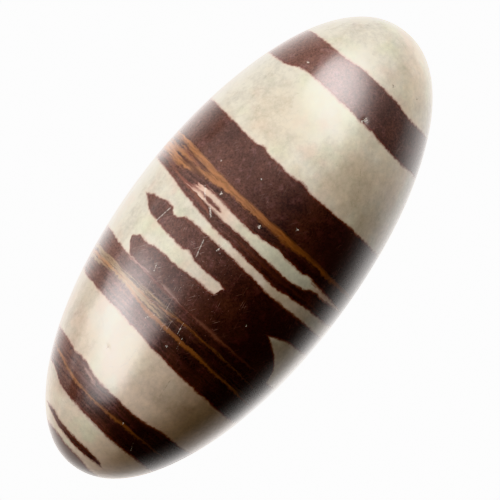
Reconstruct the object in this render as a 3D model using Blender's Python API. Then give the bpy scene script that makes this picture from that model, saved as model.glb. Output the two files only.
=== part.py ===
"""A shiva lingam stone: one polished, banded river stone, egg-shaped, lying on its side.

The stone formed as one piece, so it is one solid. +X runs along its long axis towards the slightly
fuller end, and +Z is up. The origin is the middle of the small worn flat that it rests on.
"""

import math

import bmesh
import bpy
from mathutils import Matrix, Vector

# The stone's size before its resting flat is worn on, in metres.
LENGTH = 0.1000
WIDTH = 0.0446
HEIGHT = 0.0434
# How deep the flat is worn into the underside, which leaves it about 13 mm long and 6 mm wide.
FLAT_DEPTH = 0.0002

# How full the ends are: 2 is an ellipsoid, and more is blunter. The gain makes the +X end the fuller.
FULLNESS = 2.12
FULLNESS_GAIN = 0.04

# Facets round the girth, and rings from tip to tip.
SEGMENTS = 64
RINGS = 40
# A point of the unit ball this close to its axis is a tip.
TIP_RADIUS = 1e-6

# The stone's overall tone, grey cream darkened by maroon bands, as linear RGB and alpha.
STONE_COLOUR = (0.33, 0.27, 0.20, 1.0)
STONE_ROUGHNESS = 0.3


def clear_scene():
    for obj in list(bpy.data.objects):
        bpy.data.objects.remove(obj, do_unlink=True)


def stone_material():
    material = bpy.data.materials.new("polished_banded_stone")
    material.use_nodes = True
    shader = material.node_tree.nodes["Principled BSDF"]
    shader.inputs["Base Color"].default_value = STONE_COLOUR
    shader.inputs["Roughness"].default_value = STONE_ROUGHNESS
    shader.inputs["Metallic"].default_value = 0.0
    return material


def on_stone(point):
    """Where a point of the unit ball goes on the stone, measured from the stone's middle."""
    radius = math.hypot(point.y, point.z)
    if radius < TIP_RADIUS:
        return Vector((math.copysign(LENGTH / 2, point.x), 0, 0))
    fullness = FULLNESS + FULLNESS_GAIN * point.x
    swell = (1 - point.x**2) ** (1 / fullness) / radius
    return Vector((point.x * LENGTH / 2, point.y * swell * WIDTH / 2, point.z * swell * HEIGHT / 2))


def wear_resting_flat(mesh):
    """Cuts the underside off flat, closes the cut, and sets the flat on the ground plane."""
    ground = -HEIGHT / 2 + FLAT_DEPTH
    bmesh.ops.bisect_plane(
        mesh,
        geom=mesh.verts[:] + mesh.edges[:] + mesh.faces[:],
        plane_co=(0, 0, ground),
        plane_no=(0, 0, -1),
        clear_outer=True,
    )
    rim = [edge for edge in mesh.edges if edge.is_boundary]
    flat = bmesh.ops.contextual_create(mesh, geom=rim)["faces"]
    for face in mesh.faces:
        face.smooth = face not in flat
    for edge in rim:
        edge.smooth = False
    bmesh.ops.translate(mesh, verts=mesh.verts[:], vec=(0, 0, -ground))


def make_stone(collection):
    """A ball drawn out along X into the stone, with its poles at the two tips."""
    mesh = bmesh.new()
    bmesh.ops.create_uvsphere(
        mesh,
        u_segments=SEGMENTS,
        v_segments=RINGS,
        radius=1.0,
        matrix=Matrix.Rotation(math.pi / 2, 4, "Y"),
    )
    for vertex in mesh.verts:
        vertex.co = on_stone(vertex.co)
    wear_resting_flat(mesh)
    bmesh.ops.recalc_face_normals(mesh, faces=mesh.faces[:])

    data = bpy.data.meshes.new("stone")
    mesh.to_mesh(data)
    mesh.free()
    data.materials.append(stone_material())
    stone = bpy.data.objects.new("stone", data)
    collection.objects.link(stone)


def main():
    clear_scene()
    collection = bpy.data.collections.new("shiva_lingam_stone")
    bpy.context.scene.collection.children.link(collection)
    make_stone(collection)


main()
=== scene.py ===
"""A polished shiva lingam stone, banded in cream and dark maroon, on a bright white surface.

Lengths in the stone's own terms are in millimetres from its middle: along its axis towards +X, and
around it in degrees, where 0 is its top, positive is the -Y side and 180 is its underside.
"""

import math
from typing import NamedTuple

import bmesh
import bpy
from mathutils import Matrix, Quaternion, Vector, noise


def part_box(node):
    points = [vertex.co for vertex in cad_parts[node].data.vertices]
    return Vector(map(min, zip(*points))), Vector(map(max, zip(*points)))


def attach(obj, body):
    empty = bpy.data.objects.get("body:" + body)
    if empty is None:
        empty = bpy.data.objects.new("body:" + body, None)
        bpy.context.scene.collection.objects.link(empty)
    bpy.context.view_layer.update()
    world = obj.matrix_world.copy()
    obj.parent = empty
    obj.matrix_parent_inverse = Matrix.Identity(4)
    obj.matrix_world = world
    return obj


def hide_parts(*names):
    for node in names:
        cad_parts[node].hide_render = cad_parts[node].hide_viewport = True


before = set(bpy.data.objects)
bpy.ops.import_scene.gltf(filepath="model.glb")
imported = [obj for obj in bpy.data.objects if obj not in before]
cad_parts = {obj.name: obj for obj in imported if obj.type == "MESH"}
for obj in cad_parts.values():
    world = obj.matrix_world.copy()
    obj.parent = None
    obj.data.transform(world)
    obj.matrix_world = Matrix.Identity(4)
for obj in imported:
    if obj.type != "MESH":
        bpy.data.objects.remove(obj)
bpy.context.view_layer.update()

MM = 0.001

# The stone's half sizes and the height of its middle, from its CAD box. The flat that it rests on is cut
# this deep into its underside.
FLAT_DEPTH = 0.2
stone_low, stone_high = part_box("stone")
HALF_LENGTH = (stone_high.x - stone_low.x) / 2 / MM
HALF_WIDTH = (stone_high.y - stone_low.y) / 2 / MM
HALF_HEIGHT = ((stone_high.z - stone_low.z) / MM + FLAT_DEPTH) / 2
MIDDLE_HEIGHT = HALF_HEIGHT - FLAT_DEPTH

# How full the stone's ends are, as its CAD has it: 2 is an ellipsoid, and more is blunter.
FULLNESS = 2.12
FULLNESS_GAIN = 0.04
# Nearer to the ball's axis than this, a point is at a tip.
TIP_RADIUS = 1e-6

# Mesh cells along the stone's sides, and across each of its ends.
CELLS_ALONG = 200
CELLS_ACROSS = 96

# The beds of the rock slant across the stone.
BED_SLANT = math.tan(math.radians(6.5))


def on_stone(point):
    """Where a point of the unit ball goes on the stone, in millimetres from its middle."""
    radius = math.hypot(point.y, point.z)
    if radius < TIP_RADIUS:
        return Vector((math.copysign(HALF_LENGTH, point.x), 0, 0))
    fullness = FULLNESS + FULLNESS_GAIN * point.x
    swell = max(0, 1 - point.x**2) ** (1 / fullness) / radius
    return Vector((
        point.x * HALF_LENGTH,
        point.y * swell * HALF_WIDTH,
        point.z * swell * HALF_HEIGHT,
    ))


def stone_spot(along, around):
    """The point of the surface at a distance along the stone and an angle around it."""
    across = math.sqrt(1 - (along / HALF_LENGTH) ** 2)
    turn = math.radians(around)
    # The girth isn't quite round, so the angle around it is aimed at in the unit ball's own terms.
    aim = math.atan2(math.sin(turn) / HALF_WIDTH, math.cos(turn) / HALF_HEIGHT)
    return on_stone(Vector((along / HALF_LENGTH, -across * math.sin(aim), across * math.cos(aim))))


def towards(azimuth, elevation):
    """The direction at an azimuth, in degrees from +X towards +Y, and an elevation."""
    flat = math.cos(math.radians(elevation))
    return Vector((
        flat * math.cos(math.radians(azimuth)),
        flat * math.sin(math.radians(azimuth)),
        math.sin(math.radians(elevation)),
    ))


# Small knocks in the surface: along, around, how wide and how deep.
PITS = (
    (31.3, 14, 0.8, 0.10),
    (33.7, -38, 0.9, 0.05),
    (34.8, -35, 0.9, 0.04),
    (12.1, -11, 0.6, 0.05),
    (5.2, 2, 0.5, 0.07),
    (5.8, -22, 0.6, 0.05),
    (8.8, 17, 0.8, 0.05),
    (-21.2, 1, 0.5, 0.05),
    (-27.8, -25, 0.9, 0.08),
    (-9.9, 26, 0.7, 0.05),
    (18.0, 122, 1.0, 0.10),
    (-12.0, -128, 0.9, 0.08),
    (-34.0, 150, 0.8, 0.06),
)

# The surface swells and dips a little: how wide and how high each size of wave is.
WAVES = ((16.0, 0.05), (6.0, 0.014), (2.2, 0.003))


def relief(spot):
    """How far the surface stands out at a spot, in millimetres."""
    height = sum(high * noise.noise(spot / wide + Vector((wide, 0, 0))) for wide, high in WAVES)
    for along, around, wide, deep in PITS:
        near = (spot - stone_spot(along, around)).length / wide
        if near < 1:
            height -= deep * (1 - near**2) ** 2
    return height


def cell_cube(mesh):
    """A cube from -1 to 1, with its faces cut into a grid of cells."""
    bmesh.ops.create_cube(mesh, size=2)
    for axis, cells in enumerate((CELLS_ALONG, CELLS_ACROSS, CELLS_ACROSS)):
        crossing = [
            edge for edge in mesh.edges
            if abs(edge.verts[0].co[axis] - edge.verts[1].co[axis]) > 1
        ]
        bmesh.ops.subdivide_edges(mesh, edges=crossing, cuts=cells - 1, use_grid_fill=True)


def on_ball(point):
    """Where a point of the cube goes on the unit ball, so that the cells span even angles."""
    return Vector(math.tan(c * math.pi / 4) for c in point).normalized()


def make_stone():
    mesh = bmesh.new()
    cell_cube(mesh)
    for vertex in mesh.verts:
        ball = on_ball(vertex.co)
        spot = on_stone(ball)
        outward = Vector((
            ball.x / HALF_LENGTH,
            ball.y / HALF_WIDTH,
            ball.z / HALF_HEIGHT,
        )).normalized()
        spot += outward * relief(spot)
        spot.z = max(spot.z, -MIDDLE_HEIGHT)
        vertex.co = (spot + Vector((0, 0, MIDDLE_HEIGHT))) * MM
    bmesh.ops.recalc_face_normals(mesh, faces=mesh.faces[:])
    data = bpy.data.meshes.new("shiva_lingam")
    mesh.to_mesh(data)
    mesh.free()
    data.shade_smooth()
    stone = bpy.data.objects.new("shiva_lingam", data)
    bpy.context.scene.collection.objects.link(stone)
    return stone


def srgb(red, green, blue):
    """A colour as it is seen, from 0 to 255, as linear RGB and alpha."""
    def linear(value):
        value /= 255
        return value / 12.92 if value <= 0.04045 else ((value + 0.055) / 1.055) ** 2.4
    return (linear(red), linear(green), linear(blue), 1.0)


class Field:
    """A number or colour that varies over the surface, worked out by a material's nodes."""

    def __init__(self, recipe, socket):
        self.recipe = recipe
        self.socket = socket

    def __add__(self, other):
        return self.recipe.maths("ADD", self, other)

    def __sub__(self, other):
        return self.recipe.maths("SUBTRACT", self, other)

    def __rsub__(self, other):
        return self.recipe.maths("SUBTRACT", other, self)

    def __mul__(self, other):
        return self.recipe.maths("MULTIPLY", self, other)


# How far each next seed moves a noise, in patches.
NOISE_SHIFT = Vector((17.3, 5.1, 9.7))


class Recipe:
    """Adds nodes to a material, and hands back what they work out as fields."""

    def __init__(self, tree):
        self.tree = tree

    def node(self, kind, inputs=(), **settings):
        node = self.tree.nodes.new("ShaderNode" + kind)
        for name, value in settings.items():
            setattr(node, name, value)
        for name, value in dict(inputs).items():
            if isinstance(value, Field):
                self.tree.links.new(value.socket, node.inputs[name])
            else:
                node.inputs[name].default_value = value
        return node

    def field(self, node, output=0):
        return Field(self, node.outputs[output])

    def maths(self, operation, *values, clamp=False):
        return self.field(self.node("Math", enumerate(values), operation=operation, use_clamp=clamp))

    def vectors(self, operation, *values):
        """A vector worked out from others."""
        return self.field(self.node("VectorMath", enumerate(values), operation=operation))

    def measure(self, operation, *values):
        """A number worked out from vectors."""
        return self.field(self.node("VectorMath", enumerate(values), operation=operation), "Value")

    def vector(self, x, y, z):
        return self.field(self.node("CombineXYZ", {"X": x, "Y": y, "Z": z}))

    def least(self, first, *others):
        for other in others:
            first = self.maths("MINIMUM", first, other)
        return first

    def most(self, first, *others):
        for other in others:
            first = self.maths("MAXIMUM", first, other)
        return first

    def rise(self, value, low, high):
        """0 where the value is short of low, 1 where it is past high, and smooth between."""
        node = self.node(
            "MapRange",
            {"Value": value, "From Min": low, "From Max": high},
            interpolation_type="SMOOTHSTEP",
        )
        return self.field(node)

    def noise(self, place, size, seed, detail=2.0, roughness=0.5):
        """Noise from about -0.5 to 0.5, in patches of about the given size."""
        moved = self.vectors("ADD", place, NOISE_SHIFT * (seed * size))
        node = self.node(
            "TexNoise",
            {"Vector": moved, "Scale": 1 / size, "Detail": detail, "Roughness": roughness},
        )
        return (self.field(node) - 0.5) * 2

    def curve(self, value, points):
        """A smooth curve through the points, for a value from 0 to 1."""
        low = min(high for _, high in points)
        span = max(high for _, high in points) - low
        node = self.node("FloatCurve", {"Value": value})
        line = node.mapping.curves[0]
        # A new curve has two points of its own.
        for _ in points[2:]:
            line.points.new(0.5, 0.5)
        for point, (where, high) in zip(line.points, points):
            point.location = (where, (high - low) / span)
        node.mapping.update()
        return self.field(node) * span + low

    def blend(self, share, one, other):
        """One colour where the share is 0, and the other where it is 1."""
        # The node's colours go in at sockets 6 and 7, and the mixed one comes out at 2.
        return self.field(self.node("Mix", {0: share, 6: one, 7: other}, data_type="RGBA"), 2)

    def shade(self, colour, gain):
        """The colour times a number."""
        return self.field(self.node("VectorMath", {0: colour, "Scale": gain}, operation="SCALE"))

    def feed(self, field, node, name):
        """Links a field to a node's input."""
        self.tree.links.new(field.socket, node.inputs[name])


# The edges of the bands, and of the pale bay in the wide one, the dark tongue and block in the bay, and
# the streaked parts: around the stone in degrees, and along it in millimetres, measured in the slanting
# beds. The front runs from -90 to 90.
EDGES = {
    "upper_band_top": (
        (-110, 38.0), (-71, 37.6), (-29, 37.7), (-14, 38.1), (0, 38.4), (21, 38.4), (36, 38.0),
        (46, 37.9), (60, 38.05), (81, 38.3), (130, 39.0), (180, 38.6),
    ),
    "upper_band_foot": (
        (-110, 30.0), (-71, 29.5), (-52, 29.6), (-42, 30.4), (-30, 31.1), (0, 31.2), (12, 31.1),
        (20, 31.1), (37, 30.8), (71, 31.4), (130, 31.4), (180, 30.6),
    ),
    "wide_band_top": (
        (-120, 16.8), (-73, 16.2), (-32, 15.55), (-26, 15.45), (-23, 15.6), (-20, 16.1), (-17, 15.75),
        (-10, 15.6), (2, 15.7), (8, 16.1), (11, 15.7), (20, 15.9), (35, 16.15), (57, 16.55),
        (110, 16.2), (180, 16.6),
    ),
    "ochre_top": (
        (-90, 8.3), (-60, 8.0), (-40, 7.6), (-24, 7.2), (-9, 7.2), (20, 7.6), (60, 7.7), (120, 8.4),
        (180, 9.2),
    ),
    "ochre_foot": (
        (-90, 4.0), (-66, 3.6), (-56, 3.5), (-49, 3.7), (-44, 4.2), (-38, 4.7), (-31, 5.0),
        (-24, 5.5), (-14, 5.9), (0, 6.0), (19, 6.3), (29, 6.8), (54, 7.0), (120, 7.7), (160, 7.8),
        (180, 6.4),
    ),
    "pale_band_top": (
        (-60, 1.6), (-46, 2.0), (-40, 2.3), (-36, 2.8), (-33, 3.55), (-23, 3.9), (-14, 3.75),
        (-3, 3.55), (4, 4.0), (12, 4.3), (16, 4.7), (20, 4.45), (32, 4.4), (36, 5.0), (40, 4.75),
        (58, 4.7), (72, 4.3), (95, 3.2), (180, 1.0),
    ),
    "pale_band_foot": (
        (-60, 2.8), (-46, 2.6), (-40, 2.2), (-36, 1.95), (-18, 1.8), (0, 1.85), (29, 2.1), (34, 2.3),
        (37, 2.6), (40, 3.2), (46, 3.6), (58, 3.9), (72, 4.2), (95, 4.5), (180, 3.0),
    ),
    "bay_top": (
        (-110, 2.4), (-69, 1.5), (-58, 1.3), (-46, 0.7), (-28, 0.0), (-18, -0.3), (-9, -0.45),
        (10, -0.5), (23, -0.6), (29, -0.35), (36, 0.1), (47, 0.45), (63, 0.8), (110, 2.4), (180, 3.4),
    ),
    "tongue_top": (
        (-75, -4.9), (-59, -4.1), (-53, -3.4), (-47, -3.1), (-43, -2.6), (-38, -2.6), (-35, -3.6),
        (-32, -3.4), (-28, -2.35), (-16, -2.05), (0, -1.95), (29, -2.05), (40, -1.8), (63, -1.5),
        (110, -1.6), (150, -2.8), (180, -4.6),
    ),
    "tongue_foot": (
        (-75, -3.2), (-57, -4.4), (-52, -5.4), (-46, -6.2), (-34, -6.6), (-21, -6.8), (-17, -6.4),
        (-13, -6.9), (3, -6.8), (7, -7.2), (10, -9.5), (30, -9.5), (38, -7.9), (44, -6.9),
        (55, -6.0), (71, -5.7), (110, -4.9), (150, -3.6), (165, -3.0), (180, -3.0),
    ),
    "block_top": (
        (-60, -14.5), (-51, -12.6), (-49, -11.4), (-46, -10.7), (-43, -10.2), (-39, -10.4),
        (-31, -9.7), (-20, -9.6), (-9, -9.1), (2, -8.9), (4.5, -8.6), (8, -6.5), (30, -6.5),
        (37, -7.3), (42, -8.0), (46, -8.7), (52, -9.8), (58, -11.5), (61, -13.2), (64, -14.6),
        (180, -15.0),
    ),
    "block_foot": (
        (-60, -11.0), (-50, -11.2), (-48, -12.4), (-45, -13.3), (-42, -14.1), (0, -14.5), (180, -14.5),
    ),
    "bay_foot": (
        (-72, -13.5), (-56, -13.9), (-46, -14.1), (-30, -14.1), (0, -13.9), (20, -13.8), (58, -13.9),
        (82, -14.0), (180, -13.4),
    ),
    "fan_top": (
        (-110, -16.9), (-66, -17.0), (-44, -16.8), (-26, -16.5), (-3, -15.9), (15, -15.9), (180, -16.0),
    ),
    "fan_foot": (
        (-110, -19.6), (-66, -19.4), (-44, -18.5), (-26, -18.5), (-10, -18.9), (0, -19.2), (15, -19.0),
        (180, -19.0),
    ),
    "wide_band_foot": (
        (-110, -22.0), (-61, -22.4), (-45, -22.6), (-21, -22.8), (0, -23.2), (22, -23.4), (57, -23.5),
        (110, -22.8), (180, -22.0),
    ),
    "lower_band_top": (
        (-110, -32.6), (-63, -32.8), (-48, -33.1), (-43, -33.4), (-39, -33.1), (-31, -33.45),
        (-22, -33.9), (-12, -34.15), (9, -34.0), (25, -33.5), (43, -33.1), (110, -33.0), (180, -33.2),
    ),
    "lower_band_foot": (
        (-110, -38.0), (-68, -38.3), (-60, -38.7), (-48, -39.7), (-36, -40.2), (-21, -40.2),
        (2, -40.5), (47, -40.3), (110, -40.6), (180, -39.5),
    ),
    "thin_band_top": (
        (-72, -44.5), (-62, -44.1), (-54, -44.2), (-45, -44.45), (-36, -44.65), (-18, -44.8),
        (12, -44.95), (24, -45.35), (34, -45.9), (110, -45.9), (180, -45.4),
    ),
    "thin_band_foot": (
        (-72, -44.2), (-62, -44.5), (-54, -44.95), (-45, -45.5), (-36, -45.85), (-20, -46.05),
        (0, -46.15), (12, -45.9), (27, -45.85), (34, -45.6), (110, -45.5), (180, -44.8),
    ),
    "tip_top": (
        (-110, -46.9), (-57, -46.8), (-41, -46.8), (-26, -47.2), (0, -47.3), (12, -47.5), (33, -47.9),
        (110, -47.6), (180, -47.2),
    ),
}


class Layer(NamedTuple):
    """A thin layer in the dark bands: its tone, where its middle runs, and half its thickness."""

    tone: str
    middle: tuple
    half: tuple


# Half the thickness of a layer where it is missing.
GONE = -0.35

# The thin layers, in the order they are laid over each other. The pink one in the lower band, from -40
# to -18 around, is a painted highlight.
LAYERS = (
    Layer(
        "ochre",
        middle=((-90, 5.2), (-62, 5.4), (-40, 5.7), (180, 6.0)),
        half=((-90, 0.3), (-48, 0.2), (-36, GONE), (150, GONE), (180, 0.2)),
    ),
    Layer(
        "dark",
        middle=((-90, 7.2), (-62, 6.9), (-45, 6.5), (-34, 6.0), (180, 8.2)),
        half=((-90, 0.2), (-50, 0.14), (-38, 0.16), (-32, GONE), (120, GONE), (180, 0.1)),
    ),
    Layer(
        "dark",
        middle=((-70, 4.8), (-50, 4.9), (-30, 4.8), (180, 4.8)),
        half=((-60, GONE), (-52, 0.2), (-42, 0.45), (-36, 0.3), (-30, GONE), (180, GONE)),
    ),
    Layer(
        "rust",
        middle=((-90, 6.4), (-54, 6.2), (-38, 5.7), (180, 6.0)),
        half=((-64, GONE), (-54, 0.16), (-43, 0.18), (-36, GONE), (180, GONE)),
    ),
    Layer(
        "rust",
        middle=((-90, 2.9), (-46, 2.1), (-34, 1.7), (-23, 1.2), (-18, 0.7), (180, 1.5)),
        half=((-60, 0.0), (-40, 0.22), (-23, 0.16), (-15, GONE), (180, GONE)),
    ),
    Layer(
        "pink",
        middle=((-40, 2.8), (-29, 2.4), (180, 2.4)),
        half=((-42, GONE), (-36, 0.2), (-30, 0.25), (-26, GONE), (180, GONE)),
    ),
    Layer(
        "rust",
        middle=((-30, 0.9), (0, 0.8), (20, 0.9), (50, 1.6), (180, 2.0)),
        half=((-12, GONE), (0, 0.12), (20, 0.16), (50, 0.1), (180, GONE)),
    ),
    Layer(
        "pink",
        middle=((-50, -14.5), (-33, -14.1), (-23, -13.8), (0, -14.1), (12, -14.0), (180, -13.0)),
        half=(
            (-52, GONE), (-43, 0.06), (-36, 0.14), (-28, 0.1), (-22, -0.15), (-17, 0.12), (-9, 0.14),
            (-4, -0.2), (2, -0.1), (7, 0.25), (14, 0.32), (20, 0.28), (26, 0.2), (36, 0.1), (50, 0.0),
            (70, -0.1), (90, GONE), (180, GONE),
        ),
    ),
    Layer(
        "tan",
        middle=((-90, -17.1), (-66, -17.1), (-44, -16.9), (-26, -16.6), (-3, -16.1), (180, -15.5)),
        half=((-90, 0.0), (-66, 0.08), (-10, 0.06), (0, -0.1), (10, GONE), (180, GONE)),
    ),
    Layer(
        "ochre",
        middle=(
            (-90, -18.5), (-66, -18.4), (-48, -18.1), (-31, -17.5), (-10, -16.8), (0, -16.3),
            (15, -16.1), (90, -16.4), (180, -17.4),
        ),
        half=(
            (-90, 0.2), (-62, 0.25), (-48, 0.12), (-24, 0.08), (0, 0.25), (6, 0.12), (20, 0.14),
            (36, 0.0), (90, 0.0), (180, 0.2),
        ),
    ),
    Layer(
        "tan",
        middle=((-46, -17.6), (-20, -17.8), (-5, -17.9), (180, -17.0)),
        half=((-50, GONE), (-40, 0.04), (-15, 0.1), (-6, 0.0), (0, GONE), (180, GONE)),
    ),
    Layer(
        "ochre",
        middle=((-40, -18.2), (-24, -18.8), (-12, -19.0), (25, -18.8), (60, -19.2), (180, -20.0)),
        half=(
            (-44, GONE), (-34, 0.0), (-20, 0.22), (-2, 0.42), (14, 0.36), (40, 0.18), (60, 0.06),
            (100, -0.1), (180, 0.2),
        ),
    ),
    Layer(
        "mauve",
        middle=((-70, -34.4), (-50, -34.8), (-41, -35.4), (0, -35.9), (60, -35.9), (180, -35.0)),
        half=((-75, -0.1), (-50, 0.05), (-20, 0.15), (0, 0.15), (30, 0.0), (50, GONE), (180, GONE)),
    ),
    # A painted highlight: the left softbox's reflection on the lower band, laid as a pale pink layer.
    Layer(
        "pink",
        middle=((-44, -34.0), (-30, -34.4), (-25, -34.6), (-17, -35.0), (180, -35.0)),
        half=((-40, GONE), (-32, 0.0), (-25, 0.25), (-21, 0.25), (-18, GONE), (180, GONE)),
    ),
    Layer(
        "ochre",
        middle=((-90, -35.2), (-63, -35.7), (-43, -36.7), (-12, -37.3), (10, -36.9), (180, -36.0)),
        half=(
            (-90, 0.1), (-60, 0.2), (-45, 0.24), (-30, 0.18), (-8, 0.22), (12, 0.26), (28, 0.14),
            (45, 0.04), (60, -0.1), (110, 0.1), (180, 0.3),
        ),
    ),
)

# How far the pale band breaks up into streaks, in millimetres, around the stone.
LOOSE = (
    (-70, 0.3), (-46, 0.8), (-36, 1.4), (-26, 1.1), (-14, 0.3), (30, 0.2), (42, 0.5), (60, 0.5),
    (180, 0.3),
)

# The dark sliver that forks the left end of the pale band: its middle, and half its thickness.
SLIVER = (
    ((-60, 2.5), (-30, 2.6), (-23, 2.6), (180, 2.6)),
    (
        (-60, 0.6), (-42, 0.5), (-34, 0.2), (-30, 0.05), (-26, 0.16), (-21, 0.26), (-17, 0.16),
        (-13, GONE), (180, GONE),
    ),
)
# How far the laminations loosen the sliver's edges, in millimetres.
SLIVER_LOOSE = 0.8


class Streaks(NamedTuple):
    """A part of the dark bands that is streaked with a tone, and how solidly, around the stone."""

    part: str
    tone: str
    solid: tuple


STREAKED = (
    Streaks(
        "ochre",
        "ochre",
        solid=((-90, -0.1), (-60, -0.05), (-40, 0.0), (-28, 0.1), (-14, 0.4), (180, 0.3)),
    ),
    Streaks(
        "fan",
        "tan",
        solid=(
            (-110, -0.25), (-66, -0.15), (-40, 0.0), (-20, -0.05), (-5, -0.2), (8, -0.4), (180, -0.5),
        ),
    ),
)

# How dense the dark rock's tones are, around the stone. This is painted shade: light and red brown on
# the lit side at -90, and dense and nearly black on the shaded side from 40 to 80.
STAIN_AND_SHADE = (
    (-120, 0.5), (-90, 0.0), (-55, 0.1), (0, 0.62), (10, 0.82), (20, 0.9), (40, 1.0), (80, 1.0),
    (130, 0.7), (180, 0.6),
)
# A spot where the dark rock's tones are darker, along and around: how far off that starts and is full,
# and how strong it is.
DENSE_SPOT = (16, -46)
DENSE_REACH = (8, 3)
DENSE_GAIN = 0.3
# How much lighter the dark rock's tones are in the upper band.
UPPER_BAND_LIGHTER = 0.42

# Each tone as a light copy and a dense, darker copy. The painted shade blends towards the dense copy on
# the shaded side, so the two act as lit and shaded copies.
TONES = {
    "ochre": ((0.37, 0.166, 0.07, 1), (0.16, 0.055, 0.02, 1)),
    "tan": ((0.31, 0.21, 0.12, 1), (0.16, 0.09, 0.04, 1)),
    "pink": ((0.42, 0.25, 0.20, 1), (0.12, 0.05, 0.035, 1)),
    "rust": ((0.24, 0.09, 0.055, 1), (0.055, 0.018, 0.012, 1)),
    "mauve": ((0.17, 0.08, 0.07, 1), (0.05, 0.022, 0.02, 1)),
    "dark": ((0.085, 0.033, 0.02, 1), (0.018, 0.008, 0.006, 1)),
    "maroon": ((0.107, 0.045, 0.032, 1), (0.019, 0.008, 0.007, 1)),
}
FRINGE_RED = (0.150, 0.034, 0.026, 1)
CREAM = srgb(206, 198, 181)
CREAM_GREEN = srgb(198, 194, 170)
CREAM_PINK = srgb(208, 184, 166)
# Beige that the rock has in its patches and clouds, and that the deep tint also lays on the shaded side
# as painted shade.
CREAM_BEIGE_AND_SHADE = srgb(192, 174, 148)
CREAM_ROSE = srgb(192, 163, 137)
RIM_PINK = srgb(204, 160, 140)
TIP_BROWN = srgb(112, 92, 84)
CHIP_WHITE = srgb(228, 220, 206)
DUST = srgb(168, 140, 130)

# How much the pale rock has of each tint, around the stone. Noise is added to the first three. The deep
# tint is painted shade where it grows on the shaded side, from 0 to 80. The rose tint is partly the
# rock's own and partly painted warm shade on that side.
# Rose is only below the wide band, and blush and moss are only in the pale band.
TINTS = {
    "green": ((-110, -0.4), (-60, -0.4), (-46, -0.15), (-30, 0.0), (180, 0.0)),
    "pink": ((-90, -0.05), (-30, 0.0), (40, 0.25), (110, 0.1), (180, 0.0)),
    "deep": ((-90, 0.0), (0, 0.1), (45, 0.55), (60, 0.5), (80, 0.25), (180, 0.2)),
    "rose": (
        (-90, 0.3), (-55, 0.35), (-28, 0.1), (0, 0.25), (20, 0.5), (40, 0.75), (100, 0.5), (180, 0.1),
    ),
    "blush": (
        (-90, 0.8), (-40, 1.0), (-32, 0.65), (-22, 0.4), (-14, 0.25), (-7, 0.0), (33, 0.0), (44, 0.5),
        (60, 0.7), (180, 0.7),
    ),
    "moss": ((-90, 0.0), (-14, 0.0), (-3, 0.7), (36, 0.8), (46, 0.2), (180, 0.0)),
}

# How the clouds of a tint come in as there is more of it, and how strong they are.
GREEN_COMES_IN = (-0.15, 0.35)
PINK_COMES_IN = (0.0, 0.5)
PINK_SHARE = 0.6
DEEP_CLOUD = 0.55
# How much more green the pale rock has at its lower end, and how much more pink below the wide band and
# less above it.
LOWER_END_GREENER = 0.3
BELOW_PINKER = 0.25
ABOVE_LESS_PINK = 0.12

# Clouds and grain that brighten and darken the pale rock: how big they are, their noise's seed, detail
# and roughness, and how strong they are.
CLOUDS = ((3.4, 15, 4, 0.55, 0.27), (0.9, 14, 3, 0.6, 0.22))
CLOUD_GRIT = 0.08
# The dark veins in the pale rock: how big their bends are, how thin the veins are, and how dark.
VEIN_SIZE = 4.5
VEIN_WIDTH = 0.03
VEIN_DARKNESS = 0.07

# Painted shade and painted light on the pale rock, around the stone: how much duller it is on its lit
# side, from -90 to -6, and how much brighter its upper and lower parts are on the shaded side. The upper
# part also has a little painted shade on its lit side.
LIT_SIDE_SHADE = ((-90, 0.22), (-70, 0.17), (-40, 0.12), (-20, 0.07), (-6, 0.0), (180, 0.0))
UPPER_PAINTED_LIGHT_AND_SHADE = (
    (-90, -0.04), (-35, -0.03), (-10, 0.0), (20, 0.0), (32, 0.12), (50, 0.18), (66, 0.04), (80, -0.04),
    (120, -0.04), (180, 0.0),
)
LOWER_PAINTED_LIGHT = ((-90, 0.0), (-10, 0.0), (2, 0.15), (10, 0.18), (35, 0.18), (60, 0.05), (180, 0.0))
# How much less of that painted shade the middle has, how much duller the upper end is, and how much
# painted light brightens the lower end.
MIDDLE_LESS_SHADE = 0.3
UPPER_END_DULLER = 0.06
LOWER_END_PAINTED_LIGHT = 0.23

# Stretches of the stone, by the limits of each: where along the stone, measured in the slanting beds,
# it starts, and where it is wholly reached.
STRETCHES = {
    "upper_end": ((36, 40),),
    "upper_band": ((25, 30),),
    "upper_part": ((21, 31),),
    "above_wide_band": ((20, 24),),
    "middle": ((18, 10), (-22, -12)),
    "around_pale_band": ((9, 7), (-4, -2)),
    "pale_band": ((5.5, 5.0), (1.5, 2.2)),
    "below_bay": ((-13, -15),),
    "below_wide_band": ((-20, -24),),
    "above_lower_band": ((-29, -31.5), (-36, -34)),
    "lower_end": ((-39, -42),),
    "lower_tip": ((-46.3, -47.0),),
}

# Deeper patches in the cream: along, around, how wide and how strong.
DEEP_PATCHES = (
    (21, 27, 7, 0.7), (23, -25, 9, 0.45), (17, 50, 5, 0.6), (-26, -11, 5, 0.5), (-29, -38, 5, 0.5),
    (-2, 27, 4, 0.8), (22, 130, 8, 0.5), (-20, -140, 7, 0.5),
)
# How much of a patch's width is at its full strength.
PATCH_CORE = 0.25

# Pale chips and flecks, and dark spots: along, around and how wide.
FLECKS = (
    (31.5, 14, 0.42), (30.8, 13, 0.26), (33.7, -38, 0.24), (5.2, 2, 0.3), (5.8, -22, 0.26),
    (12.1, -11, 0.16), (8.8, 17, 0.26), (-21.2, 1, 0.22), (-36.9, 10, 0.18), (-9.9, 26, 0.22),
    (10.4, -33, 0.16), (20.5, 140, 0.5), (-14.0, -120, 0.4),
)
DARK_SPOTS = (
    (39.6, 19, 0.35), (33.5, -15, 0.35), (-27.8, -25, 0.4), (40.5, 44, 0.25), (-27.0, 95, 0.4),
)
# How much the grain of the rock breaks up a spot's edge, as a share of its width.
SPOT_RAGGED = 2.2
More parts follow.
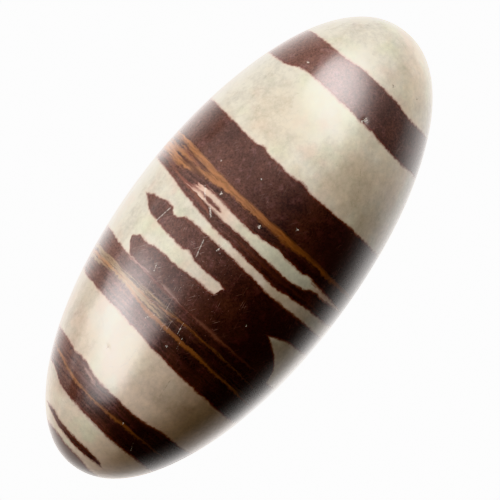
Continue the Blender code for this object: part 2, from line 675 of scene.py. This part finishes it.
# How much of a spot or line is solid.
SOLID_CORE = 0.2

# Scratches in the polish: from along and around, to along and around, and how wide.
SCRATCHES = (
    (-1.7, -39, -4.7, -41, 0.16), (2.6, -22, 1.5, -19, 0.26), (5.2, -31, 3.3, -26.5, 0.18),
    (-2.4, -15, -5.7, -13, 0.13), (-0.5, -6, -2.6, -7, 0.12), (-38.9, 26, -40.3, 30, 0.15),
    (-16.2, 1, -18.6, 2, 0.07), (-18.2, 5, -20.4, 6, 0.07), (-19.5, -16, -18.1, -13, 0.09),
    (-10.6, -27, -12.0, -26, 0.10), (24.0, -120, 20.5, -116, 0.14), (-25.0, 130, -28.0, 134, 0.14),
)

# Hairline cracks in the pale rock, given in the same way.
CRACKS = (
    (-24.4, -10.5, -27.6, -10.3, 0.16), (-27.6, -10.3, -29.4, -13.0, 0.18),
    (-29.4, -13.0, -30.2, -18.0, 0.14), (-25.5, 14.0, -29.0, 15.5, 0.13),
    (24.0, 27.0, 20.5, 33.0, 0.12), (20.0, 155.0, 26.0, 148.0, 0.15),
)

# How far the uneven edges of a line wander, in millimetres, and the grit that it breaks at.
LINE_RAGGED = 0.2
LINE_BREAKS = (-0.25, 0.25)

# The polishing strokes: which way they head, in degrees from the stone's axis, and their noise seed.
STROKES = ((8, 41), (-38, 42))
# How their noise is squeezed along them and across them, and between which values it shows.
STROKE_SQUEEZE = (0.35, 5)
STROKE_SHOWS = (0.24, 0.48)
# The values of the noise between which strokes come in, in patches, and between which pores do.
STROKE_PATCHES = (-0.1, 0.3)
PORES = (0.3, 0.5)
# The dust in them: how much there is everywhere, and how much more at a worn spot, along and around,
# with how far off that starts and is full.
DUST_LEAST = 0.12
WORN_SPOT = (-11, -8)
WORN_REACH = (16, 5)
WORN_DUST = 0.3

# How far the bands' edges wander, in millimetres: in waves, and in fine teeth.
WAVY = 0.3
TOOTHED = 0.36
# How deep in the dark rock, a streak or a layer its colour starts and is full, in millimetres.
DARK_EDGE = (-0.28, 0.24)
STREAK_EDGE = (-0.3, 0.4)
LAYER_EDGE = (-0.28, 0.36)
# How far the edges of a streak or a layer wander, in teeth and with the laminations.
STREAK_RAGGED = (0.3, 0.5)
LAYER_RAGGED = (0.25, 0.4)
# How solidly a streak or a layer covers the rock.
LAYER_COVER = 0.85
# How streaks come in as they get more solid, how near its edges a streaked part has more of them, from
# where that starts to where it is full, and how much more, and how strong their grain is.
STREAKS_COME_IN = (-0.2, 0.25)
STREAK_RIM = (1.4, 0.4)
STREAK_RIM_MORE = 0.25
STREAK_GRAIN = 0.8

# The mottled dark rock: how strong its patches, mauve clouds, grain and grit are, and its laminations,
# everywhere and where the thin layers are, and the least that its brightness falls to.
PATCHY = 0.5
MAUVE_COMES_IN = (0.0, 0.5)
MAUVE_SHARE = 0.7
GRAINY = 1.2
GRITTY = 0.5
LAMINATED = 0.12
MORE_LAMINATED = 1.2
DARKEST = 0.25

# The fringe on each side of the edges of the dark rock: how deep in it, in millimetres, the fringe
# starts and is full, and how strong it is.
PINK_FRINGE = (-0.5, 0.0)
PINK_FRINGE_SHARE = 0.35
RED_FRINGE = (0.5, 0.05)
RED_FRINGE_SHARE = 0.6


class Site:
    """Where a point of the material is on the stone, and the noises that the bands' edges share."""

    def __init__(self, r):
        here = r.field(r.node("TexCoord"), "Object")
        scale = (1 / MM, 1 / MM, 1 / MM)
        self.place = r.vectors("MULTIPLY_ADD", here, scale, (0, 0, -MIDDLE_HEIGHT))
        split = r.node("SeparateXYZ", {0: self.place})
        self.x, self.y, self.z = (r.field(split, output) for output in range(3))
        self.turn = r.maths("ARCTAN2", self.y * -1, self.z) * (0.5 / math.pi) + 0.5
        self.teeth = r.noise(self.place, size=0.7, seed=3, detail=3, roughness=0.6)
        self.grit = r.noise(self.place, size=0.22, seed=4, detail=2)
        wander = r.noise(self.place, size=3.4, seed=2) * WAVY + self.teeth * TOOTHED
        self.bed = self.x - self.y * BED_SLANT + wander
        beds = self.in_beds(r, thin=0.42, long=9)
        self.lamina = r.noise(beds, size=1, seed=22, detail=3, roughness=0.6)

    def in_beds(self, r, thin, long):
        """A place for noise that is drawn out along the beds."""
        return r.vector(self.bed * (1 / thin), self.y * (1 / long), self.z * (1 / long))


def around_stone(r, site, points):
    """A value that follows the points around the stone, and meets itself under it."""
    ends = ((-180, points[-1][1]), *points)
    return r.curve(site.turn, [(around / 360 + 0.5, value) for around, value in ends])


def between(r, site, name):
    """How deep a place is between a part's two edges, in millimetres, and under 0 outside them."""
    top, foot = (around_stone(r, site, EDGES[name + edge]) for edge in ("_top", "_foot"))
    return r.least(top - site.bed, site.bed - foot)


def in_layer(r, site, middle, half):
    """How deep a place is inside a thin layer, in millimetres, and under 0 outside it."""
    away = r.maths("ABSOLUTE", site.bed - around_stone(r, site, middle))
    return around_stone(r, site, half) - away


def in_stretch(r, site, name):
    """1 in a stretch of the stone, and 0 outside it."""
    return r.least(*(r.rise(site.bed, gone, full) for gone, full in STRETCHES[name]))


def away_from(r, site, along, around):
    """How far a place is from a spot of the surface, in millimetres."""
    return r.measure("DISTANCE", site.place, stone_spot(along, around))


def dark_depth(r, site):
    """How deep a place is inside the dark rock, in millimetres, and under 0 in the cream."""
    depth = (between(r, site, "pale_band") + site.lamina * around_stone(r, site, LOOSE)) * -1
    depth = r.most(depth, in_layer(r, site, *SLIVER) + site.lamina * SLIVER_LOOSE)
    bay = between(r, site, "bay")
    for name in ("tongue", "block"):
        bay = r.least(bay, between(r, site, name) * -1)
    depth = r.least(depth, bay * -1, between(r, site, "wide_band"))
    for name in ("upper_band", "lower_band", "thin_band"):
        depth = r.most(depth, between(r, site, name))
    return r.most(depth, around_stone(r, site, EDGES["tip_top"]) - site.bed)


def cream_tint(r, site):
    """The colour of the pale rock, clouded with green, pink and beige, and made deeper and rosier on its
    shaded side by painted shade.
    """
    def tint(name):
        return around_stone(r, site, TINTS[name])

    below = in_stretch(r, site, "below_wide_band")
    green = tint("green") + r.noise(site.place, size=7, seed=11)
    green = green + in_stretch(r, site, "lower_end") * LOWER_END_GREENER
    colour = r.blend(r.rise(green, *GREEN_COMES_IN), CREAM, CREAM_GREEN)
    pink = tint("pink") + r.noise(site.place, size=5, seed=12) + below * BELOW_PINKER
    pink = pink - in_stretch(r, site, "above_wide_band") * ABOVE_LESS_PINK
    colour = r.blend(r.rise(pink, *PINK_COMES_IN) * PINK_SHARE, colour, CREAM_PINK)
    cloud = r.noise(site.place, size=2.4, seed=13) * DEEP_CLOUD
    # The deep tint is painted shade on the shaded side, with the rock's own beige clouds in it. The rose
    # tint below is partly painted warm shade there.
    colour = r.blend(r.maths("ADD", tint("deep"), cloud, clamp=True), colour, CREAM_BEIGE_AND_SHADE)
    colour = r.blend(tint("rose") * below, colour, CREAM_ROSE)
    in_pale_band = in_stretch(r, site, "pale_band")
    colour = r.blend(tint("blush") * in_pale_band, colour, RIM_PINK)
    colour = r.blend(tint("moss") * in_pale_band, colour, CREAM_GREEN)
    for along, around, wide, share in DEEP_PATCHES:
        near = r.rise(away_from(r, site, along, around), wide, wide * PATCH_CORE)
        colour = r.blend(near * share, colour, CREAM_BEIGE_AND_SHADE)
    return colour


def cream_brightness(r, site):
    """How bright the pale rock is: clouds, grain, dark veins, a duller upper end, painted shade on its
    lit side, and painted light on its shaded side and lower end.
    """
    bright = site.grit * CLOUD_GRIT + 1
    for size, seed, detail, roughness, gain in CLOUDS:
        bright = bright + r.noise(site.place, size, seed, detail, roughness) * gain
    vein = r.maths("ABSOLUTE", r.noise(site.place, VEIN_SIZE, seed=16, detail=4, roughness=0.6))
    bright = bright - r.rise(vein, VEIN_WIDTH, 0) * VEIN_DARKNESS
    share = 1 - in_stretch(r, site, "middle") * MIDDLE_LESS_SHADE
    # Painted shade on the lit side, and painted light on the shaded side and at the lower end.
    bright = bright - around_stone(r, site, LIT_SIDE_SHADE) * share
    bright = bright - in_stretch(r, site, "upper_end") * UPPER_END_DULLER
    bright = bright + in_stretch(r, site, "lower_end") * LOWER_END_PAINTED_LIGHT
    bright = bright + around_stone(r, site, UPPER_PAINTED_LIGHT_AND_SHADE) * in_stretch(r, site, "upper_part")
    return bright + around_stone(r, site, LOWER_PAINTED_LIGHT) * in_stretch(r, site, "above_lower_band")


def stain_and_shade_density(r, site):
    """How dense the dark rock's tones are, from 0 to 1: painted shade around the stone, lighter in the
    upper band and darker at a spot.
    """
    stain_and_shade = around_stone(r, site, STAIN_AND_SHADE) - in_stretch(r, site, "upper_band") * UPPER_BAND_LIGHTER
    return stain_and_shade + r.rise(away_from(r, site, *DENSE_SPOT), *DENSE_REACH) * DENSE_GAIN


def in_tone(r, stain_and_shade, name):
    """A tone of the dark rock, between its light and its dense copy, as the painted shade and the spot
    make it.
    """
    light, dense = TONES[name]
    return r.blend(stain_and_shade, light, dense)


def mottled_rock(r, site, stain_and_shade):
    """The rock of the dark bands: patchy and grained, darker on the shaded side by painted shade, and
    laminated where the thin layers are.
    """
    patches = r.noise(site.place, size=5, seed=21, detail=3) * PATCHY
    colour = in_tone(r, r.maths("ADD", stain_and_shade, patches, clamp=True), "maroon")
    mauve = r.rise(r.noise(site.place, size=1.6, seed=24, detail=3), *MAUVE_COMES_IN)
    colour = r.blend(mauve * MAUVE_SHARE, colour, in_tone(r, stain_and_shade, "mauve"))
    grain = r.noise(site.place, size=0.45, seed=25, detail=3, roughness=0.7) * GRAINY
    layered = r.most(in_stretch(r, site, "around_pale_band"), in_stretch(r, site, "below_bay"))
    laminated = site.lamina * (layered * MORE_LAMINATED + LAMINATED)
    return r.shade(colour, r.most(grain + site.grit * GRITTY + laminated + 1, DARKEST))


def ragged(site, teeth, lamina):
    """How far an edge wanders, in fine teeth and with the laminations."""
    return site.teeth * teeth + site.lamina * lamina


def dark_colour(r, site):
    """Iron-stained rock with painted shade, from red brown on the lit side to nearly black on the shaded
    side, with the thin layers laid in it.
    """
    stain_and_shade = stain_and_shade_density(r, site)
    colour = mottled_rock(r, site, stain_and_shade)
    drawn_out = site.in_beds(r, thin=0.3, long=3)
    grain = r.noise(drawn_out, size=1, seed=23, detail=3) * STREAK_GRAIN + 1
    for streaks in STREAKED:
        inside = between(r, site, streaks.part)
        solid = around_stone(r, site, streaks.solid) + site.lamina
        solid = solid + r.rise(inside, *STREAK_RIM) * STREAK_RIM_MORE
        share = r.rise(inside + ragged(site, *STREAK_RAGGED), *STREAK_EDGE) * LAYER_COVER
        tone = r.shade(in_tone(r, stain_and_shade, streaks.tone), grain)
        colour = r.blend(share * r.rise(solid, *STREAKS_COME_IN), colour, tone)
    for layer in LAYERS:
        inside = in_layer(r, site, layer.middle, layer.half)
        share = r.rise(inside + ragged(site, *LAYER_RAGGED), *LAYER_EDGE) * LAYER_COVER
        colour = r.blend(share, colour, in_tone(r, stain_and_shade, layer.tone))
    return r.blend(in_stretch(r, site, "lower_tip"), colour, TIP_BROWN)


def rock_colour(r, site, depth, dark):
    """Pale and dark rock, both with painted shade in their colour, and a pink and a red fringe where
    they meet.
    """
    pale = r.shade(cream_tint(r, site), cream_brightness(r, site))
    pale = r.blend(r.rise(depth, *PINK_FRINGE) * PINK_FRINGE_SHARE, pale, RIM_PINK)
    stained_and_shaded = dark_colour(r, site)
    stained_and_shaded = r.blend(r.rise(depth, *RED_FRINGE) * RED_FRINGE_SHARE, stained_and_shaded, FRINGE_RED)
    return r.blend(dark, pale, stained_and_shaded)


def near_spots(r, site, spots):
    """1 inside any of the spots, with uneven edges."""
    shares = []
    for along, around, wide in spots:
        away = away_from(r, site, along, around) + site.grit * (SPOT_RAGGED * wide)
        shares.append(r.rise(away, wide, wide * SOLID_CORE))
    return r.most(*shares)


def near_lines(r, site, lines):
    """1 along each of the lines, with breaks in them."""
    shares = []
    for start_along, start_around, end_along, end_around, wide in lines:
        start = stone_spot(start_along, start_around)
        run = stone_spot(end_along, end_around) - start
        reach = r.vectors("SUBTRACT", site.place, start)
        share = r.measure("DOT_PRODUCT", reach, run / run.length_squared)
        share = r.maths("ADD", share, 0, clamp=True)
        away = r.measure("DISTANCE", reach, r.vectors("MULTIPLY", share, run))
        shares.append(r.rise(away + site.teeth * LINE_RAGGED, wide, wide * SOLID_CORE))
    return r.most(*shares) * r.rise(site.grit, *LINE_BREAKS)


def polish_strokes(r, site, heading, seed):
    """1 along fine strokes left by the polish, which head at an angle from the stone's axis."""
    lengthways, crossways = STROKE_SQUEEZE
    along = r.measure("DOT_PRODUCT", site.place, towards(heading, 0))
    across = r.measure("DOT_PRODUCT", site.place, towards(heading + 90, 0))
    drawn_out = r.vector(along * lengthways, across * crossways, site.z * lengthways)
    return r.rise(r.noise(drawn_out, size=1, seed=seed, detail=1), *STROKE_SHOWS)


def dust_share(r, site, dark):
    """How much pale dust fills the strokes and pores of the dark rock."""
    strokes = r.most(*(polish_strokes(r, site, heading, seed) for heading, seed in STROKES))
    strokes = strokes * r.rise(r.noise(site.place, size=2.5, seed=43), *STROKE_PATCHES)
    pores = r.rise(r.noise(site.place, size=0.35, seed=44, detail=3), *PORES)
    worn = r.rise(away_from(r, site, *WORN_SPOT), *WORN_REACH)
    return r.most(strokes, pores) * dark * (worn * WORN_DUST + DUST_LEAST)


# How strongly each kind of mark covers the rock.
CHIP_SHARE = 0.6
DARK_SPOT_SHARE = 0.7
CRACK_SHARE = 0.4

# The polish: how rough it is, how much rougher its grain, its marks and the dust make it, and how a
# softer outer film spreads part of the light.
ROUGHNESS = 0.2
GRAIN_ROUGHNESS = 0.06
MARK_ROUGHNESS = 0.35
DUST_ROUGHNESS = 0.3
QUARTZ_IOR = 1.54
FILM_WEIGHT = 0.3
FILM_ROUGHNESS = 0.5

# How high the grain and the ripples stand in the polish, and how deep its scratches are, in
# millimetres.
GRAIN_HEIGHT = 0.0016
RIPPLE_HEIGHT = 0.006
SCRATCH_DEPTH = 0.02


def stone_material():
    material = bpy.data.materials.new("polished_banded_stone")
    material.use_nodes = True
    shader = material.node_tree.nodes["Principled BSDF"]
    r = Recipe(material.node_tree)
    site = Site(r)
    depth = dark_depth(r, site)
    dark = r.rise(depth, *DARK_EDGE)
    dust = dust_share(r, site, dark)
    scratches = near_lines(r, site, SCRATCHES)
    marks = r.most(near_spots(r, site, FLECKS), scratches)

    colour = r.blend(dust, rock_colour(r, site, depth, dark), DUST)
    colour = r.blend(marks * CHIP_SHARE, colour, CHIP_WHITE)
    colour = r.blend(near_spots(r, site, DARK_SPOTS) * DARK_SPOT_SHARE, colour, TONES["dark"][0])
    colour = r.blend(near_lines(r, site, CRACKS) * CRACK_SHARE, colour, TIP_BROWN)
    r.feed(colour, shader, "Base Color")

    grain = r.noise(site.place, size=0.5, seed=31, detail=3)
    rough = grain * GRAIN_ROUGHNESS + marks * MARK_ROUGHNESS + dust * DUST_ROUGHNESS
    r.feed(rough + ROUGHNESS, shader, "Roughness")
    ripple = r.noise(site.place, size=2.2, seed=32)
    height = grain * GRAIN_HEIGHT + ripple * RIPPLE_HEIGHT - scratches * SCRATCH_DEPTH
    bump = r.node("Bump", {"Height": height, "Distance": MM, "Strength": 1.0})
    r.feed(r.field(bump), shader, "Normal")
    shader.inputs["IOR"].default_value = QUARTZ_IOR
    shader.inputs["Coat Weight"].default_value = FILM_WEIGHT
    shader.inputs["Coat Roughness"].default_value = FILM_ROUGHNESS
    return material


# The camera looks straight down from this many millimetres above the stone's middle, turned so that the
# stone's long axis runs to the upper right.
CAMERA_DISTANCE = 420
AXIS_ANGLE = math.radians(52.74)
SENSOR_WIDTH = 36
# The photograph's width, and the stone's half length and middle in it, in pixels.
PHOTO_WIDTH = 500
HALF_LENGTH_PIXELS = 273.4
MIDDLE_PIXEL = (238.6, 248.2)


def make_camera():
    pixel = HALF_LENGTH / HALF_LENGTH_PIXELS
    right = Vector((math.cos(AXIS_ANGLE), -math.sin(AXIS_ANGLE), 0))
    up = Vector((math.sin(AXIS_ANGLE), math.cos(AXIS_ANGLE), 0))
    aside = right * (PHOTO_WIDTH / 2 - MIDDLE_PIXEL[0]) - up * (PHOTO_WIDTH / 2 - MIDDLE_PIXEL[1])
    data = bpy.data.cameras.new("camera")
    data.sensor_width = SENSOR_WIDTH
    data.lens = SENSOR_WIDTH * CAMERA_DISTANCE / (PHOTO_WIDTH * pixel)
    camera = bpy.data.objects.new("camera", data)
    camera.location = (aside * pixel + Vector((0, 0, MIDDLE_HEIGHT + CAMERA_DISTANCE))) * MM
    camera.rotation_euler = (0, 0, -AXIS_ANGLE)
    bpy.context.scene.collection.objects.link(camera)
    bpy.context.scene.camera = camera


# How far the lights are from the stone's middle, in metres.
LIGHT_DISTANCE = 0.6


def area_light(name, azimuth, elevation, size, radiance, lean=0):
    """A rectangular light that faces the stone, out of the camera's sight. It may lean, in degrees."""
    data = bpy.data.lights.new(name, "AREA")
    data.shape = "RECTANGLE"
    data.size, data.size_y = size
    data.energy = radiance * math.pi * size[0] * size[1]
    away = towards(azimuth, elevation)
    light = bpy.data.objects.new(name, data)
    light.location = Vector((0, 0, MIDDLE_HEIGHT * MM)) + away * LIGHT_DISTANCE
    turned = away.to_track_quat("Z", "Y") @ Quaternion((0, 0, 1), math.radians(-lean))
    light.rotation_euler = turned.to_euler()
    light.visible_camera = False
    bpy.context.scene.collection.objects.link(light)
    return light


# The height on a softbox where its curve across isn't squeezed, and the place across it that stays
# put where it is squeezed.
PANEL_LEVEL = 0.6
PANEL_PIVOT = 0.4
# How much of a softbox's width its sides fade out over.
PANEL_FADE = 0.06


def panel_light(
    name, azimuth, elevation, size, radiance, across, upward, bend, lean=0, fan=0, corner=None
):
    """A softbox that only the polish mirrors.

    Its brightness follows curves across it and up it. The curve across it is shifted at each height
    by the bend, and is wider higher up by the fan. A corner may be shaded off along a slanting line,
    given by its slope and by where the light is full and gone.
    """
    light = area_light(name, azimuth, elevation, size, radiance, lean)
    light.visible_diffuse = False
    light.data.use_nodes = True
    r = Recipe(light.data.node_tree)
    emission = light.data.node_tree.nodes["Emission"]
    split = r.node("SeparateXYZ", {0: r.field(r.node("NewGeometry"), "Parametric")})
    side, height = r.field(split, 0), r.field(split, 1)
    squeeze = (side - PANEL_PIVOT) * (height - PANEL_LEVEL) * fan
    bright = r.curve(side + r.curve(height, bend) - squeeze, across) * r.curve(height, upward)
    bright = bright * r.rise(side, 0, PANEL_FADE) * r.rise(side, 1, 1 - PANEL_FADE)
    if corner:
        slope, full, gone = corner
        bright = bright * r.rise(side + height * slope, gone, full)
    r.feed(bright, emission, "Strength")


# How long a lamp's sides are, in metres.
LAMP_SIZE = 0.25


def lamp(name, azimuth, elevation, light_given):
    """A soft lamp that lights the stone but isn't mirrored in it."""
    radiance = light_given * math.pi * LIGHT_DISTANCE**2 / LAMP_SIZE**2
    light = area_light(name, azimuth, elevation, (LAMP_SIZE, LAMP_SIZE), radiance)
    light.visible_glossy = False


def make_lights():
    panel_light(
        "upper_panel", azimuth=-5, elevation=33.5, size=(1.34, 0.65), radiance=12.1,
        across=(
            (0, 0), (0.14, 0.01), (0.25, 0.03), (0.33, 0.07), (0.4, 0.17), (0.43, 0.26), (0.47, 0.39),
            (0.505, 0.57), (0.53, 0.69), (0.57, 0.79), (0.62, 0.92), (0.68, 1), (0.75, 0.98),
            (0.83, 0.9), (0.9, 0.82), (1, 0.75),
        ),
        upward=(
            (0, 0), (0.12, 0.08), (0.25, 0.38), (0.35, 0.62), (0.45, 0.9), (0.55, 0.98), (0.75, 1),
            (0.85, 0.85), (0.94, 0.4), (1, 0),
        ),
        bend=((0, -0.47), (0.2, -0.31), (0.4, -0.155), (0.6, 0), (0.8, 0.07), (1, 0.14)),
        corner=(0.87, 1.48, 1.66),
    )
    panel_light(
        "left_panel", azimuth=124, elevation=28, size=(0.6, 1.1), radiance=11.8,
        across=(
            (0, 0.01), (0.05, 0.02), (0.15, 0.05), (0.25, 0.26), (0.35, 0.63), (0.42, 0.9),
            (0.48, 1.04), (0.53, 1.14), (0.58, 0.95), (0.65, 0.62), (0.72, 0.4), (0.8, 0.25), (0.9, 0.1),
            (1, 0),
        ),
        upward=(
            (0, 0), (0.06, 0.12), (0.12, 0.28), (0.2, 0.5), (0.28, 0.66), (0.36, 0.82), (0.45, 0.96),
            (0.58, 1.05), (0.66, 1.04), (0.75, 0.92), (0.85, 0.58), (0.94, 0.2), (1, 0),
        ),
        bend=(
            (0, -0.05), (0.15, -0.05), (0.25, 0.04), (0.35, 0.09), (0.45, 0.08), (0.55, 0.02),
            (0.65, -0.04), (0.85, -0.05), (1, -0.05),
        ),
        lean=28, fan=1.2,
    )
    lamp("upper_lamp", azimuth=23.6, elevation=36.2, light_given=1.07)
    lamp("left_lamp", azimuth=119, elevation=26.2, light_given=0.75)


# Soft glows low down at each side of the stone, on the table and past it: towards which azimuth,
# and how bright. They fade out where the cosine of the angle from it is down to the least.
SIDE_GLOWS = ((-38, 0.65), (115, 0.2))
SIDE_GLOW_LEAST = 0.7


def from_sides(r, direction, main, least):
    """The brightness in a direction: greatest in the main one, with the side glows added."""
    bright = r.most(r.measure("DOT_PRODUCT", direction, main) + least, 0)
    for azimuth, gain in SIDE_GLOWS:
        toward = r.measure("DOT_PRODUCT", direction, towards(azimuth, 0))
        bright = bright + r.rise(toward, SIDE_GLOW_LEAST, 1) * gain
    return bright


# The bright table's radiance by distance from the stone's middle in metres, as the polish mirrors it,
# and what is added to it away from the stone on the side where the lights are.
FLOOR_REACH = 0.4
FLOOR_STRETCH = (0.72, 1, 1)
FLOOR_GLOW = (
    (0, 1.9), (0.035, 1.8), (0.046, 1.7), (0.055, 1.45), (0.066, 1.0), (0.085, 0.7), (0.114, 0.45),
    (0.16, 0.25), (0.25, 0.05), (0.4, 0.0),
)
FLOOR_SIDE = towards(0, 0) * 0.8
FLOOR_SIDE_LEAST = 0.1
FLOOR_SIDE_STARTS = (0.03, 0.075)
# Glows on parts of the table: towards which azimuth, how narrow, the distances in metres at which they
# are gone and full, and how bright. The first is the far part, which shines with the left softbox, and
# the others are close to the stone.
TABLE_GLOWS = (
    (111, 0.86, 0.08, 0.5, 2.8),
    (111, 0.3, 0.085, 0.045, 0.3),
    (-118, 0.8, 0.056, 0.042, 0.45),
)
# The table as the camera sees it, and the light it gives the stone's underside.
FLOOR_SEEN = 3.6
FLOOR_LIGHT = 0.15
FLOOR_TINT = (1.0, 0.965, 0.94, 1)
FLOOR_RADIUS = 1.5
WHITE = (1.0, 1.0, 1.0, 1)
BLACK = (0.0, 0.0, 0.0, 1)


def by_ray(r, camera, mirror, other):
    """A brightness that differs for what the camera sees, what the polish mirrors, and all else."""
    path = r.node("LightPath")
    seen = r.field(path, "Is Camera Ray")
    glossy = r.field(path, "Is Glossy Ray")
    return seen * camera + glossy * (1 - seen) * mirror + (1 - seen) * (1 - glossy) * other


def table_radiance(r, here):
    """The table's radiance as the polish mirrors it."""
    direction = r.vectors("NORMALIZE", here)
    away = r.measure("LENGTH", r.vectors("MULTIPLY", here, FLOOR_STRETCH))
    points = [(reach / FLOOR_REACH, bright) for reach, bright in FLOOR_GLOW]
    bright = from_sides(r, direction, FLOOR_SIDE, FLOOR_SIDE_LEAST) * r.rise(away, *FLOOR_SIDE_STARTS)
    bright = bright + r.curve(away * (1 / FLOOR_REACH), points)
    for azimuth, narrow, gone, full, gain in TABLE_GLOWS:
        toward = r.measure("DOT_PRODUCT", direction, towards(azimuth, 0))
        bright = bright + r.rise(toward, narrow, 1) * r.rise(away, gone, full) * gain
    return bright


def make_floor():
    bpy.ops.mesh.primitive_circle_add(vertices=96, radius=FLOOR_RADIUS, fill_type="NGON")
    floor = bpy.context.object
    floor.name = "floor"
    material = bpy.data.materials.new("light_table")
    material.use_nodes = True
    shader = material.node_tree.nodes["Principled BSDF"]
    shader.inputs["Base Color"].default_value = BLACK
    shader.inputs["Roughness"].default_value = 0.9
    shader.inputs["Specular IOR Level"].default_value = 0.0
    r = Recipe(material.node_tree)
    here = r.field(r.node("TexCoord"), "Object")
    r.feed(by_ray(r, FLOOR_SEEN, table_radiance(r, here), FLOOR_LIGHT), shader, "Emission Strength")
    seen = r.field(r.node("LightPath"), "Is Camera Ray")
    r.feed(r.blend(seen, FLOOR_TINT, WHITE), shader, "Emission Color")
    floor.data.materials.append(material)


# The room around the stone, brighter on the side of the lights.
ROOM_SEEN = 1.0
ROOM_SIDE = towards(60, 5) * 0.7
ROOM_SIDE_LEAST = 0.2
ROOM_LIGHT = 0.12


def make_world():
    world = bpy.data.worlds.new("studio")
    world.use_nodes = True
    r = Recipe(world.node_tree)
    direction = r.field(r.node("TexCoord"), "Generated")
    strength = by_ray(r, ROOM_SEEN, from_sides(r, direction, ROOM_SIDE, ROOM_SIDE_LEAST), ROOM_LIGHT)
    background = world.node_tree.nodes["Background"]
    background.inputs["Color"].default_value = WHITE
    r.feed(strength, background, "Strength")
    bpy.context.scene.world = world


stone = make_stone()
stone.data.materials.append(stone_material())
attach(stone, "root")
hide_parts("stone")

make_lights()
make_floor()
make_world()
make_camera()

view = bpy.context.scene.view_settings
view.view_transform = "Khronos PBR Neutral"
view.look = "None"
